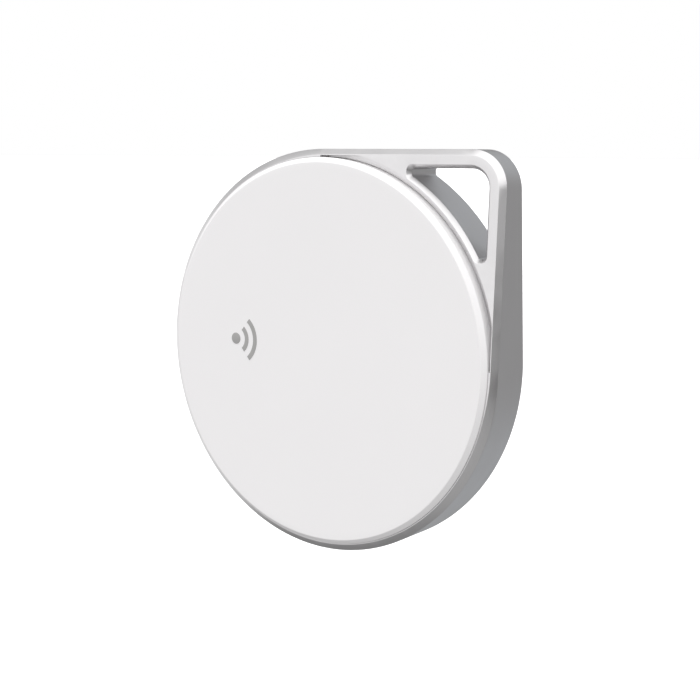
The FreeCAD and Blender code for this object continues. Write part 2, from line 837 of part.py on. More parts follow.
def make_strip(label, points, width):
    """A bent metal strip: one outline in the XZ plane, as wide as given."""
    body = new_body(label)
    sketch = new_sketch(body, label + "_outline", "XZ_Plane")
    draw_polygon(sketch, points)
    pad(body, sketch, width, both_ways=True)
    return body


def make_positive_contact():
    """A strip that hangs from the board and touches the cell's side."""
    board = size("board_back")
    strip = size("strip")
    near = size("cell_radius") + size("wall_gap")
    foot = board - size("positive_drop")
    tab = size("cell_radius") + size("positive_tab")
    body = make_strip("positive_contact", [
        (near, foot), (near + strip, foot), (near + strip, board - strip),
        (tab, board - strip), (tab, board), (near, board)], size("positive_width"))
    finish(body, "positive_contact", about_axis(120))


def make_negative_contact():
    """A strip under the board whose middle sags onto the cell's cap."""
    board = size("board_back")
    strip = size("strip")
    end = size("negative_reach")
    flat = size("negative_flat")
    bend = size("negative_bend")
    low = board - size("negative_sag")
    body = make_strip("negative_contact", [
        (-end, board), (-end, board - strip), (-(bend + strip), board - strip),
        (-flat, low - strip), (flat, low - strip), (bend + strip, board - strip),
        (end, board - strip), (end, board), (bend, board),
        (flat, low), (-flat, low), (-bend, board)], size("negative_width"))
    finish(body, "negative_contact")


def make_sounder_contacts():
    """Two leaning springs: one touches the ceramic, the other the brass plate."""
    board = size("board_front")
    strip = size("strip")
    ceramic = size("face_height") - size("face_wall") - size("glue_thickness") \
        - size("sounder_thickness") - size("ceramic_thickness")
    reaches = (ceramic, ceramic + size("ceramic_thickness"))
    springs = []
    for number, (place, reach) in enumerate(zip(SPRING_STARTS, reaches)):
        start = as_size(place)
        foot = start + size("spring_foot")
        top = reach - size("spring_gap")
        tip = start + size("spring_lean")
        springs.append(make_strip(f"sounder_spring_{number}", [
            (start, board), (foot, board), (foot, board + strip),
            (start + size("spring_bend"), board + strip), (tip + size("spring_tip"), top),
            (tip, top), (start, board + strip)], size("spring_width")))
    group_part("sounder_contacts", springs, about_axis(90))


# ---------------------------------------------------------------- build and write

make_frame()
make_front_cover()
make_front_mark()
make_sounder()
make_carrier()
make_carrier_glue()
make_front_seal()
make_battery_cover()
make_cover_oring()
make_coin_cell()
make_board()
make_chips()
make_capacitors()
make_board_screws()
make_press_dome()
make_positive_contact()
make_negative_contact()
make_sounder_contacts()
doc.recompute()

os.makedirs("parts", exist_ok=True)
for feature in doc.Objects:
    if "Invalid" in feature.State or "Error" in feature.State:
        raise RuntimeError(f"{feature.Label} did not build: {feature.State}")
for part in sub_parts:
    if part.Shape.isNull() or not part.Shape.isValid():
        raise RuntimeError(f"{part.Label} has no valid shape")
    part.Shape.exportStep(f"parts/{part.Label}.step")
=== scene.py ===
import json
import math

import bmesh
import bpy
from mathutils import Matrix, Vector
from mathutils.geometry import delaunay_2d_cdt


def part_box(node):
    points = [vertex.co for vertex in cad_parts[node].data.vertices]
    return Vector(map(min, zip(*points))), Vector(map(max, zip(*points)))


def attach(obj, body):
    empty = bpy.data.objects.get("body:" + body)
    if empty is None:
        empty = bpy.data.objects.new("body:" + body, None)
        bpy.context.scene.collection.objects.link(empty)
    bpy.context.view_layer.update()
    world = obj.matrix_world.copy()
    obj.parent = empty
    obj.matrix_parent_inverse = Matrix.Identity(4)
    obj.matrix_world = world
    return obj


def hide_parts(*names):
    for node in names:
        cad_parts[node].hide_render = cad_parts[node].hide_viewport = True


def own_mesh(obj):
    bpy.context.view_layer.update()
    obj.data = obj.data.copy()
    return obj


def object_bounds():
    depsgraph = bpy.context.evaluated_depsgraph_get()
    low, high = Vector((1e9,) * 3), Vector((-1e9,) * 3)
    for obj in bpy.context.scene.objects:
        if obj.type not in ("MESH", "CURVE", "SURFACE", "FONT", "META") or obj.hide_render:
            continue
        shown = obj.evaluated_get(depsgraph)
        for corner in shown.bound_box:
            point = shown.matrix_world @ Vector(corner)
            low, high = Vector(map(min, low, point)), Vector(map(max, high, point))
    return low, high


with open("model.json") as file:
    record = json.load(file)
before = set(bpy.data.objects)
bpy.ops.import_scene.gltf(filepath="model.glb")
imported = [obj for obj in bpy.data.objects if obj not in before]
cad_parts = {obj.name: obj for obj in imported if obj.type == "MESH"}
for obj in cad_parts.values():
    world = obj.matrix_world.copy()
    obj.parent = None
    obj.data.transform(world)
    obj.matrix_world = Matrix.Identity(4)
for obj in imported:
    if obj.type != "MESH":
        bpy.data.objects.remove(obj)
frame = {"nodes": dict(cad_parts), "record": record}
CAD_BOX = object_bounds()
NODES = frame["nodes"]
BODY_OF = {name: body for body, names in frame["record"]["behaviour"]["bodies"].items()
           for name in names}
SLOT_OF = {part["node"]: part["material_slot"] for part in frame["record"]["subparts"]}

MM = 0.001
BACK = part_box("carrier")[1].y
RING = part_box("frame")[1].x / MM
FACE_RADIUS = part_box("front_cover")[1].x / MM
FACE_TOP = (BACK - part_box("front_cover")[0].y) / MM
SKIRT_BOTTOM = (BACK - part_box("front_seal")[0].y) / MM
FRAME_BACK = (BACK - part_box("frame")[1].y) / MM
FRAME_FRONT = (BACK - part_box("frame")[0].y) / MM

# Metal frame, in millimetres; heights are above the back face.
RIM_CHAMFER = 0.5
RING_WIDENING = 0.3
WIDENING_DEGREES = 14.0
CORNER_RADIUS = 3.4
BORE_RADIUS = 18.33
COVER_GAP = 0.03
FLANGE_RADIUS = 17.0
FLANGE_BACK = 4.3
FLANGE_FRONT = 4.9
GROOVE_RADIUS = 18.88
GROOVE_FLOOR = 5.95
GROOVE_MARGIN = 0.06
LIP_LOW = 5.5
LOOP_EDGE = 17.35
LOOP_CURVE = 19.25
LOOP_END = 9.6
LOOP_CORNER = 1.7
LOOP_BEVEL = 0.32
LOOP_BEVEL_DEPTH = 0.42
LOOP_BACK_BEVEL = 0.12
LOOP_END_ROUND = 0.28
LOOP_END_DEGREES = 1.4
LOOP_END_STRAIGHT = 0.8
# Past LEAN_START along the loop's diagonal its faces lean back, by these slopes.
FRONT_LEAN = 0.07
BACK_LEAN = 0.09
LEAN_START = RING / math.sqrt(2)
EDGE_ROUND = 0.07
BEVEL_MARGIN = 0.4

# Front cover, in millimetres.
FACE_WALL = 0.8
SHOULDER_WIDTH = 0.44
SHOULDER_DROP = 0.38
SHOULDER_ROUND = 0.14
SHOULDER_INNER = 0.97
SKIRT_ROUND = 0.1
CEILING_ROUND = 0.15
CEILING_MARGIN = 1.0
HOOK_INNER = 16.1
HOOK_OUTER = 16.75
HOOK_BARB = 17.3
HOOK_SHELF = 4.2
HOOK_BOTTOM = 3.8
HOOK_WIDTH = 2.4
HOOK_SHELF_ROUND = 0.06
HOOK_TIP_ROUND = 0.08
HOOK_ANGLES = (0, 120, 240)
BOSS_RADIUS = 1.0
BOSS_CENTRE = (0, -12.4)
BOSS_FOOT = 5.5
ROOT = 0.2

# Points along the outlines. The ring's inner outlines have one per degree.
RIM_STEPS = 240
RIM_CORNER_STEPS = 28
RIM_SIDE_STEPS = 14
LOOP_CURVE_STEPS = 40
LOOP_CORNER_STEPS = 24
LOOP_SIDE_STEPS = 6
CAP_STEPS = 288
BOSS_STEPS = 48
TURN = 360
QUARTER = 90

SHARP_DEGREES = 34
REFINED_DEGREES = 32
FLAT_DEGREES = 0.4
HARD_DEGREES = 40
SAME_POINT = 1e-4


# ---------------------------------------------------------------- mesh helpers

def spot(x, z, height):
    """A point seen from the front, at a height above the back face."""
    return Vector((x * MM, BACK - height * MM, z * MM))


def rounded(corners, default=0.0, steps=4, closed=True):
    """A 2-D line whose corners (x, y) or (x, y, radius) are turned into arcs."""
    count = len(corners)
    line = []
    for i, corner in enumerate(corners):
        here = Vector(corner[:2])
        radius = corner[2] if len(corner) > 2 else default
        if radius <= 0 or (not closed and i in (0, count - 1)):
            line.append(here)
            continue
        before = (Vector(corners[i - 1][:2]) - here).normalized()
        after = (Vector(corners[(i + 1) % count][:2]) - here).normalized()
        half = before.angle(after) / 2
        reach = radius / math.tan(half)
        centre = here + (before + after).normalized() * (radius / math.sin(half))
        first = here + before * reach - centre
        sweep = first.angle_signed(here + after * reach - centre)
        for step in range(steps + 1):
            turn = Matrix.Rotation(-sweep * step / steps, 2)
            line.append(centre + turn @ first)
    return line


def offset_loop(points, distance_at):
    """A closed line moved to its left by a distance at each point, with mitred corners."""
    moved = []
    count = len(points)
    for i, here in enumerate(points):
        into = (here - points[i - 1]).normalized()
        out = (points[(i + 1) % count] - here).normalized()
        left_in, left_out = Vector((-into.y, into.x)), Vector((-out.y, out.x))
        middle = (left_in + left_out).normalized()
        moved.append(here + middle * (distance_at(here) / middle.dot(left_in)))
    return moved


def arc(radius, start, end, steps, centre=(0.0, 0.0)):
    """An arc from one angle to another, in degrees."""
    line = []
    for i in range(steps + 1):
        turn = math.radians(start + (end - start) * i / steps)
        line.append(Vector((centre[0] + radius * math.cos(turn), centre[1] + radius * math.sin(turn))))
    return line


def circle(radius, count, centre=(0.0, 0.0)):
    """A closed ring of points, without a repeat at its end."""
    return arc(radius, 0, 360 - 360 / count, count - 1, centre)


def straight(start, end, steps):
    return [Vector(start).lerp(Vector(end), i / steps) for i in range(steps + 1)]


def without_repeats(points):
    return [p for i, p in enumerate(points) if (p - points[i - 1]).length > SAME_POINT]


def inside(point, loop):
    """Whether a point is inside a closed line: a ray from it crosses the line an odd number of times."""
    odd = False
    for i, a in enumerate(loop):
        b = loop[i - 1]
        if (a.y > point.y) != (b.y > point.y):
            if point.x < (b.x - a.x) * (point.y - a.y) / (b.y - a.y) + a.x:
                odd = not odd
    return odd


def new_object(name, bm):
    mesh = bpy.data.meshes.new(name)
    bmesh.ops.recalc_face_normals(bm, faces=bm.faces)
    bm.to_mesh(mesh)
    bm.free()
    piece = bpy.data.objects.new(name, mesh)
    bpy.context.scene.collection.objects.link(piece)
    return piece


def bake_modifiers(piece):
    evaluated = piece.evaluated_get(bpy.context.evaluated_depsgraph_get())
    mesh = bpy.data.meshes.new_from_object(evaluated)
    piece.modifiers.clear()
    piece.data = mesh


def smooth(piece, angle=SHARP_DEGREES):
    """Smooth shading up to an angle, with normals that keep the flat faces flat."""
    piece.data.shade_smooth()
    piece.data.set_sharp_from_angle(angle=math.radians(angle))
    weighted = piece.modifiers.new("flat_faces", "WEIGHTED_NORMAL")
    weighted.keep_sharp = True
    weighted.weight = 100
    bake_modifiers(piece)


def loop_verts(bm, points, height_at):
    """A row of vertices over a line's points, at the height that each point asks for."""
    return [bm.verts.new(spot(p.x, p.y, height_at(p))) for p in points]


def bridge(bm, first, second):
    """Quads between two closed rows of vertices of the same length."""
    for i in range(len(first)):
        bm.faces.new((first[i - 1], first[i], second[i], second[i - 1]))


def fill_plate(bm, outer, holes):
    """Triangles between an outer row of vertices and the rows around its holes."""
    rows = [outer] + holes
    flat = [[Vector((v.co.x / MM, v.co.z / MM)) for v in row] for row in rows]
    points, edges, verts = [], [], []
    for row, line in zip(rows, flat):
        first = len(points)
        points += line
        verts += row
        edges += [(first + i, first + (i + 1) % len(line)) for i in range(len(line))]
    places, _, triangles, sources = delaunay_2d_cdt(points, edges, [], 1, 1e-6)[:4]
    for triangle in triangles:
        middle = sum((places[i] for i in triangle), Vector((0, 0))) / 3
        if inside(middle, flat[0]) and not any(inside(middle, line) for line in flat[1:]):
            bm.faces.new([verts[sources[i][0]] for i in triangle])


def lathe(bm, outline):
    """An outline of (radius, height), from axis to axis, turned about the disc's axis."""
    rows = []
    for radius, height in outline:
        points = circle(radius, CAP_STEPS) if radius else [Vector((0, 0))]
        rows.append(loop_verts(bm, points, lambda p, height=height: height))
    for row, after in zip(rows, rows[1:]):
        if len(row) == 1:
            row = row * CAP_STEPS
        if len(after) == 1:
            after = after * CAP_STEPS
        for i in range(CAP_STEPS):
            ends = dict.fromkeys((row[i - 1], row[i], after[i], after[i - 1]))
            bm.faces.new(list(ends))


def extrude_plate(bm, corners, low, high, place):
    """A prism from a closed line; place(x, y, t) says where its point (x, y) stands at t."""
    rows = [[bm.verts.new(place(p.x, p.y, t)) for p in corners] for t in (low, high)]
    bridge(bm, rows[0], rows[1])
    bm.faces.new(rows[0])
    bm.faces.new(list(reversed(rows[1])))


# ---------------------------------------------------------------- metal frame

def lean_reach(point):
    return max(0.0, (point.x + point.y) / math.sqrt(2) - LEAN_START)


def front_height(point):
    return FRAME_FRONT - FRONT_LEAN * lean_reach(point)


def back_height(point):
    return FRAME_BACK + BACK_LEAN * lean_reach(point)


def frame_outline():
    """The ring's round rim with the loop's square corner, rounded."""
    middle = RING - CORNER_RADIUS
    line = arc(RING, 90, 360, RIM_STEPS)
    line += straight((RING, 0), (RING, middle), RIM_SIDE_STEPS)
    line += arc(CORNER_RADIUS, 0, 90, RIM_CORNER_STEPS, (middle, middle))
    line += straight((middle, RING), (0, RING), RIM_SIDE_STEPS)
    return without_repeats(line)


def opening_outline():
    """The loop's opening: two straight sides, a round corner and a curve along the ring."""
    middle = LOOP_EDGE - LOOP_CORNER
    start = LOOP_END + LOOP_END_STRAIGHT
    foot = math.sqrt(LOOP_CURVE ** 2 - LOOP_END ** 2)
    turn = math.degrees(math.asin(LOOP_END / LOOP_CURVE)) + LOOP_END_DEGREES
    line = [(foot, LOOP_END, LOOP_END_ROUND), (LOOP_EDGE, LOOP_END, LOOP_END_ROUND)]
    line += straight((LOOP_EDGE, start), (LOOP_EDGE, middle), LOOP_SIDE_STEPS)
    line += arc(LOOP_CORNER, 0, 90, LOOP_CORNER_STEPS, (middle, middle))
    line += straight((middle, LOOP_EDGE), (start, LOOP_EDGE), LOOP_SIDE_STEPS)
    line += [(LOOP_END, LOOP_EDGE, LOOP_END_ROUND), (LOOP_END, foot, LOOP_END_ROUND)]
    line += arc(LOOP_CURVE, 90 - turn, turn, LOOP_CURVE_STEPS)
    return without_repeats(rounded(line, steps=6))


def groove_outline():
    """The ring's inner rim at the front: the groove's wall beside the loop, the bore elsewhere."""
    limit = RING - RIM_CHAMFER - GROOVE_MARGIN
    rim = []
    for i in range(QUARTER + 1):
        turn = math.radians(i)
        reach = min(GROOVE_RADIUS, limit / max(math.cos(turn), math.sin(turn)))
        rim.append(Vector((reach * math.cos(turn), reach * math.sin(turn))))
    return rim


def ring_widening(point):
    """The front chamfer is wider round the ring than along the loop, with a smooth change."""
    angle = math.degrees(math.atan2(point.y, point.x))
    past = max(-angle, angle - 90) if angle > -90 else 90
    return 1 + RING_WIDENING * min(1.0, max(0.0, past / WIDENING_DEGREES))


def bevel_section(width, depth, softness):
    """A bevel from a flat face (reach, 0) to a wall (0, drop), with softened corners."""
    return rounded([(width + BEVEL_MARGIN, 0), (width, 0), (0, depth), (0, depth + BEVEL_MARGIN)],
                   softness, steps=3, closed=False)[1:]


def edge_rows(bm, outline, front, back, side, widening=lambda p: 1.0):
    """Rows of vertices from the front's flat land over its bevel and wall to the back's land."""
    rows = []
    for reach, drop in front:
        moved = offset_loop(outline, lambda p, reach=reach: side * reach * widening(p))
        rows.append(loop_verts(bm, moved, lambda p, drop=drop: front_height(p) - drop))
    for reach, drop in reversed(back):
        moved = offset_loop(outline, lambda p, reach=reach: side * reach)
        rows.append(loop_verts(bm, moved, lambda p, drop=drop: back_height(p) + drop))
    for row, after in zip(rows, rows[1:]):
        bridge(bm, row, after)
    return rows[0], rows[-1]


def ring_front(bm, lip):
    """The groove beside the loop, the land elsewhere and the bore's foot inside both."""
    bore = circle(lip, TURN)
    top = loop_verts(bm, groove_outline(), front_height)
    low = loop_verts(bm, groove_outline(), lambda p: GROOVE_FLOOR)
    foot = loop_verts(bm, bore, lambda p: GROOVE_FLOOR)
    land = loop_verts(bm, bore[QUARTER:] + bore[:1], lambda p: FRAME_FRONT)
    for i in range(1, QUARTER + 1):
        bm.faces.new((top[i - 1], top[i], low[i], low[i - 1]))
        bm.faces.new((low[i - 1], low[i], foot[i], foot[i - 1]))
    round_land = foot[QUARTER:] + foot[:1]
    for i in range(1, len(land)):
        bm.faces.new((land[i - 1], land[i], round_land[i], round_land[i - 1]))
    bm.faces.new((top[0], low[0], foot[0], land[-1]))
    bm.faces.new((top[QUARTER], low[QUARTER], foot[QUARTER], land[0]))
    return top + land, foot


def build_frame():
    """The metal ring with its bevelled loop, the groove, and the flange in its bore."""
    bm = bmesh.new()
    rim = bevel_section(RIM_CHAMFER, RIM_CHAMFER, EDGE_ROUND)
    outer_front, outer_back = edge_rows(bm, frame_outline(), rim, rim, 1, ring_widening)
    hole_front, hole_back = edge_rows(
        bm, opening_outline(), bevel_section(LOOP_BEVEL, LOOP_BEVEL_DEPTH, EDGE_ROUND),
        bevel_section(LOOP_BACK_BEVEL, LOOP_BACK_BEVEL, EDGE_ROUND / 2), -1)

    lip = FACE_RADIUS + COVER_GAP
    inner_front, row = ring_front(bm, lip)
    for radius, height in ((lip, LIP_LOW), (BORE_RADIUS, LIP_LOW - BORE_RADIUS + lip),
                           (BORE_RADIUS, FLANGE_FRONT), (FLANGE_RADIUS, FLANGE_FRONT),
                           (FLANGE_RADIUS, FLANGE_BACK), (BORE_RADIUS, FLANGE_BACK),
                           (BORE_RADIUS, FRAME_BACK)):
        after = loop_verts(bm, circle(radius, TURN), lambda p, height=height: height)
        bridge(bm, row, after)
        row = after

    fill_plate(bm, outer_front, [inner_front, hole_front])
    fill_plate(bm, outer_back, [row, hole_back])
    piece = new_object("metal_frame", bm)
    smooth(piece)
    return piece


# ---------------------------------------------------------------- front cover

def build_front_cover():
    """The pressed cap, with a softened bevel between its face and its wall."""
    start = FACE_RADIUS - SHOULDER_WIDTH
    inner = FACE_RADIUS - FACE_WALL
    under = FACE_TOP - FACE_WALL
    shoulder = [(start * SHOULDER_INNER, FACE_TOP), (start, FACE_TOP, SHOULDER_ROUND),
                (FACE_RADIUS, FACE_TOP - SHOULDER_DROP, SHOULDER_ROUND), (FACE_RADIUS, under)]
    skirt = [(FACE_RADIUS, under - ROOT), (FACE_RADIUS, SKIRT_BOTTOM, SKIRT_ROUND),
             (inner, SKIRT_BOTTOM, SKIRT_ROUND), (inner, under, CEILING_ROUND),
             (inner - CEILING_MARGIN, under)]
    bm = bmesh.new()
    lathe(bm, [(0, FACE_TOP), (start / 2, FACE_TOP)] + rounded(shoulder, steps=5, closed=False)
          + rounded(skirt, steps=3, closed=False) + [(0, under)])

    root = under + ROOT
    hook = rounded([(HOOK_INNER, root), (HOOK_OUTER, root),
                    (HOOK_OUTER, HOOK_SHELF, HOOK_SHELF_ROUND),
                    (HOOK_BARB, HOOK_SHELF, HOOK_SHELF_ROUND),
                    (HOOK_OUTER, HOOK_BOTTOM, HOOK_TIP_ROUND),
                    (HOOK_INNER, HOOK_BOTTOM, HOOK_TIP_ROUND)], steps=3)
    for angle in HOOK_ANGLES:
        turn = math.radians(angle)
        across, along = (math.cos(turn), math.sin(turn)), (-math.sin(turn), math.cos(turn))
        extrude_plate(bm, hook, -HOOK_WIDTH / 2, HOOK_WIDTH / 2,
                      lambda x, y, t, across=across, along=along:
                      spot(x * across[0] + t * along[0], x * across[1] + t * along[1], y))
    extrude_plate(bm, circle(BOSS_RADIUS, BOSS_STEPS, BOSS_CENTRE), BOSS_FOOT, root, spot)
    piece = new_object("pressed_cover", bm)
    smooth(piece)
    return piece


# ---------------------------------------------------------------- other pieces

def refine(node, name, width):
    """The CAD shape with its hard edges rounded over and smooth curved faces."""
    bm = bmesh.new()
    bm.from_mesh(NODES[node].data)
    bmesh.ops.remove_doubles(bm, verts=bm.verts, dist=1e-7)
    bmesh.ops.dissolve_limit(bm, angle_limit=math.radians(FLAT_DEGREES),
                             verts=bm.verts, edges=bm.edges)
    piece = new_object(name, bm)
    bevel = piece.modifiers.new("edges", "BEVEL")
    bevel.width = width * MM
    bevel.segments = 2
    bevel.limit_method = "ANGLE"
    bevel.angle_limit = math.radians(HARD_DEGREES)
    bevel.use_clamp_overlap = True
    bake_modifiers(piece)
    smooth(piece, REFINED_DEGREES)
    return piece


# ---------------------------------------------------------------- materials

class Nodes:
    """A node tree, with short ways to add and join nodes."""

    def __init__(self, tree):
        self.tree = tree

    def join(self, value, socket):
        if isinstance(value, bpy.types.NodeSocket):
            self.tree.links.new(value, socket)
        else:
            socket.default_value = value

    def add(self, kind, inputs=None, **settings):
        node = self.tree.nodes.new(kind)
        for key, value in settings.items():
            setattr(node, key, value)
        for key, value in (inputs or {}).items():
            self.join(value, node.inputs[key])
        return node

    def spread(self, value, low, high, start=0.3, end=0.7, **settings):
        """A value's span from start to end, carried over to the span from low to high."""
        return self.add("ShaderNodeMapRange", {"Value": value, "From Min": start, "From Max": end,
                                               "To Min": low, "To Max": high},
                        **settings).outputs["Result"]

    def math(self, operation, first, second):
        return self.add("ShaderNodeMath", {0: first, 1: second}, operation=operation).outputs[0]

    def mix(self, factor, first, second):
        return self.add("ShaderNodeMix", {0: factor, 6: first, 7: second},
                        data_type="RGBA").outputs[2]


class Look(Nodes):
    """A material: its principled shader and the textures on it."""

    def __init__(self, name):
        self.material = bpy.data.materials.new(name)
        self.material.use_nodes = True
        super().__init__(self.material.node_tree)
        self.shader = self.tree.nodes["Principled BSDF"]
        self.place = self.add("ShaderNodeTexCoord").outputs["Object"]

    def noise(self, size, detail=3.0, stretch=None):
        """Noise whose lumps are about size millimetres, pulled out along an axis by stretch."""
        place = self.place
        if stretch:
            place = self.add("ShaderNodeMapping", {"Vector": place, "Scale": stretch}).outputs[0]
        return self.add("ShaderNodeTexNoise", {"Vector": place, "Scale": 1 / (size * MM),
                                               "Detail": detail, "Roughness": 0.55}).outputs["Fac"]

    def edges(self, low=0.51, high=0.6):
        """One on outward edges and nought on flat faces."""
        worn = self.add("ShaderNodeNewGeometry").outputs["Pointiness"]
        return self.spread(worn, 0.0, 1.0, low, high)

    def bump(self, heights, depths):
        """Bumps one above another; each depth is in millimetres."""
        inputs = {}
        for height, depth in zip(heights, depths):
            inputs.update({"Height": height, "Distance": depth * MM, "Strength": 1.0})
            inputs["Normal"] = self.add("ShaderNodeBump", inputs).outputs["Normal"]
        self.set(Normal=inputs["Normal"])

    def set(self, **values):
        for key, value in values.items():
            self.join(value, self.shader.inputs[key.replace("_", " ")])


def shade(colour, factor):
    """A colour made lighter or darker."""
    return tuple(min(1.0, c * factor) for c in colour) + (1.0,)


def surface(name, colour, rough, metal=0.0, mottle=(4.0, 0.03), grain=(0.12, 0.002), stretch=None,
            wear=0.12, rough_span=0.05, **extra):
    """Colour drift, fine grain, any worn edges and uneven roughness on one base colour."""
    n = Look(name)
    drift = n.spread(n.noise(mottle[0]), 0.0, 1.0)
    fine = n.noise(grain[0], 4.0, stretch)
    base = n.mix(drift, shade(colour, 1 - mottle[1]), shade(colour, 1 + mottle[1]))
    base = n.mix(n.spread(fine, 0.0, 0.35), base, shade(colour, 0.93))
    smear = n.spread(n.noise(1.6), rough - rough_span, rough + rough_span)
    if wear:
        worn = n.math("MULTIPLY", n.edges(), n.spread(n.noise(0.7, 4.0), 0.3, 1.0))
        base = n.mix(n.math("MULTIPLY", worn, wear), base, shade(colour, 1.25))
        smear = n.math("ADD", smear, n.math("MULTIPLY", worn, -0.5 * rough_span))
    n.bump([fine, n.noise(grain[0] * 6)], [grain[1], grain[1] * 0.6])
    n.set(Base_Color=base, Roughness=smear, Metallic=metal, **extra)
    return n.material


def board_material():
    """Green solder mask with copper tracks under it, laid out in two directions."""
    n = Look("board_resist")
    mask, copper = (0.012, 0.10, 0.045, 1), (0.05, 0.22, 0.08, 1)
    tracks = None
    for direction, offset in (("X", 0.0), ("Z", 3.0)):
        wave = n.add("ShaderNodeTexWave", {"Vector": n.place, "Scale": 170.0, "Distortion": 1.5,
                                           "Detail": 0.0, "Phase Offset": offset},
                     bands_direction=direction, wave_profile="SIN").outputs["Fac"]
        band = n.spread(wave, 0.0, 1.0, 0.80, 0.86)
        patch = n.spread(n.noise(2.2, 0.0), 0.0, 1.0, 0.48 + offset / 100, 0.5 + offset / 100)
        band = n.math("MULTIPLY", band, patch)
        tracks = band if tracks is None else n.math("MAXIMUM", tracks, band)
    base = n.mix(tracks, mask, copper)
    base = n.mix(n.spread(n.noise(5.0), 0.0, 0.3), base, (0.02, 0.13, 0.06, 1))
    n.bump([tracks, n.noise(0.08)], [0.02, 0.002])
    n.set(Base_Color=base, Roughness=n.spread(n.noise(0.9), 0.22, 0.34), IOR=1.52)
    return n.material


def capacitor_material():
    """Tan ceramic bodies with specks, brighter towards their tinned ends."""
    n = Look("capacitor_ceramic")
    specks = n.spread(n.noise(0.05, 2.0), 0.0, 1.0, 0.55, 0.62)
    base = n.mix(n.spread(n.noise(0.6), 0.0, 1.0), (0.34, 0.22, 0.13, 1), (0.46, 0.32, 0.20, 1))
    base = n.mix(n.math("MULTIPLY", specks, 0.4), base, (0.2, 0.12, 0.07, 1))
    base = n.mix(n.math("MULTIPLY", n.edges(0.52, 0.56), 0.7), base, (0.75, 0.74, 0.72, 1))
    n.bump([n.noise(0.05), specks], [0.004, 0.002])
    n.set(Base_Color=base, Roughness=n.spread(n.noise(0.3), 0.4, 0.6))
    return n.material


def brushed_steel(name, colour, along):
    stretch = (12.0, 12.0, 0.6) if along == "Z" else (0.6, 12.0, 12.0)
    return surface(name, colour, 0.3, 1.0, (3.0, 0.05), (0.25, 0.0015), stretch, 0.3, 0.07,
                   Anisotropic=0.5)


FINISH = {
    "frame_metal": surface("frame_metal", (0.80, 0.79, 0.795), 0.34, 1.0, (6.0, 0.012),
                           (0.09, 0.0012), wear=0.35, rough_span=0.03),
    "white_plastic": surface("white_plastic", (0.845, 0.832, 0.838), 0.42, 0.0, (9.0, 0.006),
                             (0.10, 0.0012), wear=0.0, rough_span=0.04, IOR=1.49),
    "grey_print": surface("grey_print", (0.36, 0.355, 0.35), 0.55, 0.0, (0.8, 0.05),
                          (0.05, 0.0015), rough_span=0.06),
    "grey_silicone": surface("grey_silicone", (0.42, 0.42, 0.42), 0.7, 0.0, (1.5, 0.06),
                             (0.06, 0.003), Sheen_Weight=0.15),
    "clear_glue": surface("clear_glue", (0.72, 0.69, 0.58), 0.25, 0.0, (0.9, 0.10), (0.3, 0.01)),
    "sounder_brass": surface("sounder_brass", (0.78, 0.60, 0.28), 0.32, 1.0, (2.0, 0.06),
                             (0.2, 0.002), (0.5, 10.0, 10.0), 0.3),
    "piezo_ceramic": surface("piezo_ceramic", (0.80, 0.78, 0.70), 0.6, 0.0, (1.2, 0.05),
                             (0.05, 0.003)),
    "black_rubber": surface("black_rubber", (0.025, 0.025, 0.027), 0.65, 0.0, (1.0, 0.25),
                            (0.05, 0.003), wear=0.5),
    "cell_steel": brushed_steel("cell_steel", (0.62, 0.62, 0.63), "Z"),
    "board_resist": board_material(),
    "chip_epoxy": surface("chip_epoxy", (0.022, 0.022, 0.025), 0.5, 0.0, (0.5, 0.2),
                          (0.04, 0.004), wear=0.6),
    "contact_metal": surface("contact_metal", (0.83, 0.66, 0.36), 0.28, 1.0, (1.0, 0.06),
                             (0.15, 0.0015), (10.0, 10.0, 0.6), 0.4),
    "capacitor_ceramic": capacitor_material(),
    "screw_steel": brushed_steel("screw_steel", (0.5, 0.5, 0.51), "X"),
}


def paint(piece, node):
    piece.data.materials.clear()
    piece.data.materials.append(FINISH[SLOT_OF[node]])


def dress_piece(piece, node, body):
    """Paint a visual piece, put it on its body and let it stand for its CAD node."""
    paint(piece, node)
    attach(piece, body)
    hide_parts(node)


for node, cad in NODES.items():
    paint(cad, node)

dress_piece(build_frame(), "frame", BODY_OF["frame"])
dress_piece(build_front_cover(), "front_cover", BODY_OF["front_cover"])

# How far the CAD shapes' edges are rounded over, in millimetres.
EDGE_WIDTHS = {"carrier": 0.05, "battery_cover": 0.09, "cell_can": 0.06, "cell_cap": 0.06,
               "circuit_board": 0.03, "radio_chip": 0.04, "driver_chip": 0.04, "crystal": 0.05,
               "antenna": 0.04, "capacitors": 0.03, "board_screws": 0.04, "front_mark": 0.004,
               "cover_oring": 0.05, "front_seal": 0.03, "press_dome": 0.01,
               "sounder_contacts": 0.01, "positive_contact": 0.02, "negative_contact": 0.02}
# Pieces that are squeezed when the front is pressed, with the share of their height each keeps then; the
# shares are not read here, and each such piece only gets a mesh of its own.
SQUASHED = {"front_seal": 0.35, "press_dome": 0.2, "sounder_contacts": 0.55}
for node, width in EDGE_WIDTHS.items():
    detailed = refine(node, node + "_detail", width)
    dress_piece(detailed, node, BODY_OF[node])
    if node in SQUASHED:
        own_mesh(detailed)


# ---------------------------------------------------------------- floor, light and camera

FLOOR_GAP = 0.045
FLOOR_RADIUS = 60.0
ground = bmesh.new()
bmesh.ops.create_circle(ground, cap_ends=True, segments=96, radius=FLOOR_RADIUS)
floor = new_object("floor", ground)
floor.location = (0, 0, CAD_BOX[0][2] - FLOOR_GAP)
floor_look = Look("floor_paint")
tone = floor_look.spread(floor_look.noise(60.0), 0.0, 1.0)
tone = floor_look.mix(tone, (0.93, 0.93, 0.93, 1), (0.95, 0.95, 0.95, 1))
floor_look.bump([floor_look.noise(0.8)], [0.01])
floor_look.set(Base_Color=tone, Roughness=0.8)
floor.data.materials.append(floor_look.material)
floor.visible_glossy = False
floor.visible_diffuse = False

world = bpy.data.worlds.new("studio")
bpy.context.scene.world = world
world.use_nodes = True
sky = Nodes(world.node_tree)


